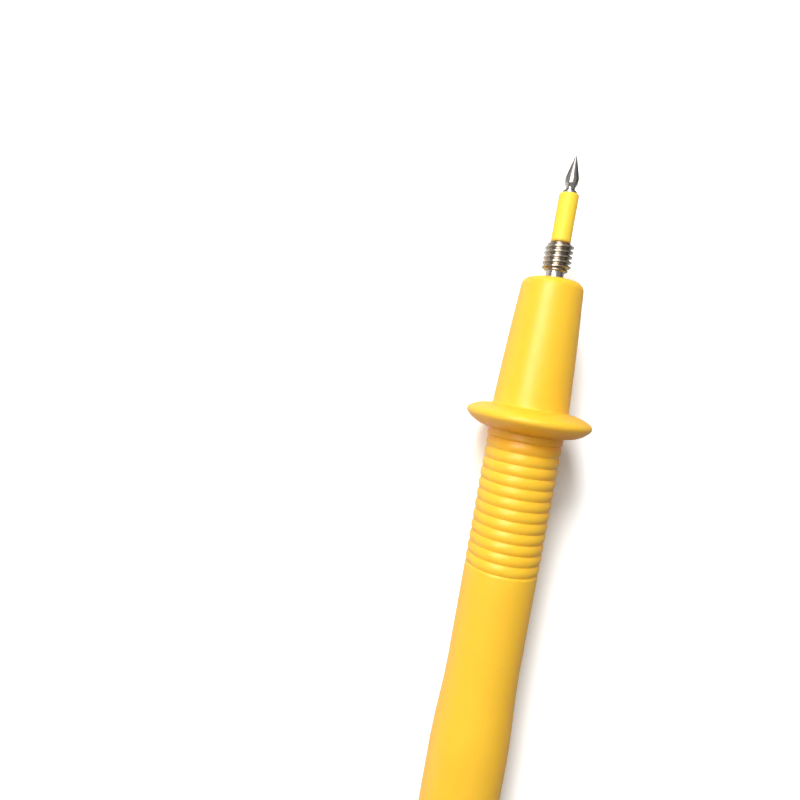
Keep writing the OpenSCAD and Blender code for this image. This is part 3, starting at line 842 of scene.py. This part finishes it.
# 1 for the rays that the eye and glass see by, a share of it for those that metal sees by,
# and 0 for those that only carry light
def whiteRays(tree):
    ray = addNode(tree, "ShaderNodeLightPath")
    metal = addNode(tree, "ShaderNodeMath", operation="MULTIPLY")
    metal.inputs[1].default_value = studio["metalShare"]
    direct = addNode(tree, "ShaderNodeMath", operation="MAXIMUM")
    every = addNode(tree, "ShaderNodeMath", operation="MAXIMUM")
    tree.links.new(ray.outputs["Is Glossy Ray"], metal.inputs[0])
    tree.links.new(ray.outputs["Is Camera Ray"], direct.inputs[0])
    tree.links.new(ray.outputs["Is Transmission Ray"], direct.inputs[1])
    tree.links.new(direct.outputs[0], every.inputs[0])
    tree.links.new(metal.outputs[0], every.inputs[1])
    return every.outputs[0]


# A rectangular lamp that looks at the origin from a direction
def makeSoftbox(name, toward, distance, size, power, inGloss):
    lamp = bpy.data.lights.new(name, "AREA")
    lamp.shape = "RECTANGLE"
    lamp.size, lamp.size_y = size
    lamp.energy = power
    box = bpy.data.objects.new(name, lamp)
    box.location = Vector(toward).normalized() * distance
    box.rotation_euler = (-box.location).to_track_quat("-Z", "Y").to_euler()
    box.visible_camera = False
    box.visible_glossy = inGloss
    bpy.context.scene.collection.objects.link(box)


# A level between two others, as a value goes from one limit to another
def addStep(tree, value, limits, levels):
    step = addNode(tree, "ShaderNodeMapRange", interpolation_type="SMOOTHSTEP")
    setInputs(step, {"From Min": limits[0], "From Max": limits[1]})
    for name, level in zip(("To Min", "To Max"), levels):
        if isinstance(level, float):
            step.inputs[name].default_value = level
        else:
            tree.links.new(level, step.inputs[name])
    tree.links.new(value, step.inputs["Value"])
    return step.outputs["Result"]


# 1 inside a window whose two edges each have an outer and an inner limit
def addWindow(tree, value, limits):
    product = addNode(tree, "ShaderNodeMath", operation="MULTIPLY")
    tree.links.new(addStep(tree, value, limits[:2], (0.0, 1.0)), product.inputs[0])
    tree.links.new(addStep(tree, value, limits[2:], (1.0, 0.0)), product.inputs[1])
    return product.outputs[0]


# A window in two slopes: a direction's other two parts over the part named by its axis
def slopeWindow(tree, split, axis, edges):
    least = addNode(tree, "ShaderNodeMath", operation="MAXIMUM")
    least.inputs[1].default_value = studio["leastPart"]
    tree.links.new(split.outputs[axis], least.inputs[0])
    window = addNode(tree, "ShaderNodeMath", operation="MULTIPLY")
    for number, (other, limits) in enumerate(edges):
        slope = addNode(tree, "ShaderNodeMath", operation="DIVIDE")
        tree.links.new(split.outputs[other], slope.inputs[0])
        tree.links.new(least.outputs[0], slope.inputs[1])
        tree.links.new(addWindow(tree, slope.outputs[0], studio[limits]), window.inputs[number])
    return window.outputs[0]


# The room: white to the camera. Metal sees a bright window overhead and one in front, and
# walls that darken from left to right low down and the other way high up; as light the room
# is weak and even. The windows lie in a direction's slopes: x / z and y / z overhead, x / y
# and z / y in front.
def makeWorld():
    world = bpy.data.worlds.new("room")
    bpy.context.scene.world = world
    world.use_nodes = True
    tree = world.node_tree
    tree.nodes.clear()
    link = tree.links.new
    out = addNode(tree, "ShaderNodeOutputWorld")
    room = addNode(tree, "ShaderNodeBackground", Color=(1, 1, 1, 1))
    ray = addNode(tree, "ShaderNodeLightPath")
    direction = addNode(tree, "ShaderNodeTexCoord")
    split = addNode(tree, "ShaderNodeSeparateXYZ")
    link(direction.outputs["Generated"], split.inputs[0])
    overhead = slopeWindow(tree, split, "Z", (("X", "ceilingAcross"), ("Y", "ceilingAlong")))
    ahead = slopeWindow(tree, split, "Y", (("X", "frontAcross"), ("Z", "frontUp")))
    windows = addNode(tree, "ShaderNodeMath", operation="MAXIMUM")
    link(overhead, windows.inputs[0])
    link(ahead, windows.inputs[1])
    low = addStep(tree, split.outputs["X"], studio["wallTurn"], studio["wallLow"])
    high = addStep(tree, split.outputs["X"], studio["wallTurn"], studio["wallHigh"])
    walls = addStep(tree, split.outputs["Z"], studio["wallStep"], (low, high))
    inMetal = addStep(tree, windows.outputs[0], (0.0, 1.0), (walls, studio["windowLight"]))
    asLight = addStep(tree, ray.outputs["Is Glossy Ray"], (0.0, 1.0),
                      (studio["roomLight"], inMetal))
    seen = addNode(tree, "ShaderNodeMath", operation="MAXIMUM")
    link(ray.outputs["Is Camera Ray"], seen.inputs[0])
    link(ray.outputs["Is Transmission Ray"], seen.inputs[1])
    link(addStep(tree, seen.outputs[0], (0.0, 1.0), (asLight, 1.0)), room.inputs["Strength"])
    link(room.outputs[0], out.inputs[0])


# The camera looks down on the probe from close by. The view says where the probe's point
# is from the camera (right, down, away) and which way the axis runs in the same terms.
view = {
    "lens": 26.775, "sensor": 36.0, "shiftDown": -0.0025,
    "pointFromCamera": (24.639, -33.85, 83.1), "axisInView": (-0.16764, 0.98417, 0.05748),
    "clipStart": 0.002,
}


# The camera's right, lower and ahead directions come from the probe's axis, and its place
# from the probe's point
def makeCamera():
    axisInView = np.array(view["axisInView"])
    axisInView /= np.linalg.norm(axisInView)
    down = np.array([0.0, 0.0, -1.0])
    steepest = down - (down @ rearward) * rearward
    steepest /= np.linalg.norm(steepest)
    ahead = axisInView[2] * rearward + math.sqrt(1 - axisInView[2] ** 2) * steepest
    inPicture = rearward - axisInView[2] * ahead
    inPicture /= np.linalg.norm(inPicture)
    beside = np.cross(inPicture, ahead)
    turn = math.atan2(-axisInView[0], axisInView[1])
    right = beside * math.cos(turn) - inPicture * math.sin(turn)
    lower = inPicture * math.cos(turn) + beside * math.sin(turn)
    fromCamera = np.array(view["pointFromCamera"]) * mm
    place = pointPlace - right * fromCamera[0] - lower * fromCamera[1] - ahead * fromCamera[2]
    lens = bpy.data.cameras.new("camera")
    lens.lens = view["lens"]
    lens.sensor_width = view["sensor"]
    lens.shift_y = view["shiftDown"]
    lens.clip_start = view["clipStart"]
    camera = bpy.data.objects.new("camera", lens)
    axes = np.column_stack([right, -lower, -ahead])
    camera.matrix_world = Matrix.Translation(Vector(place)) @ Matrix(axes.tolist()).to_4x4()
    bpy.context.scene.collection.objects.link(camera)
    bpy.context.scene.camera = camera


makeFloor()
makeSoftbox("keyLight", studio["keyToward"], studio["keyDistance"], studio["keySize"],
            studio["keyPower"], inGloss=False)
makeSoftbox("topLight", studio["topToward"], studio["topDistance"], studio["topSize"],
            studio["topPower"], inGloss=True)
makeWorld()
makeCamera()
bpy.context.scene.view_settings.view_transform = "Standard"
print("floor, light and camera set")
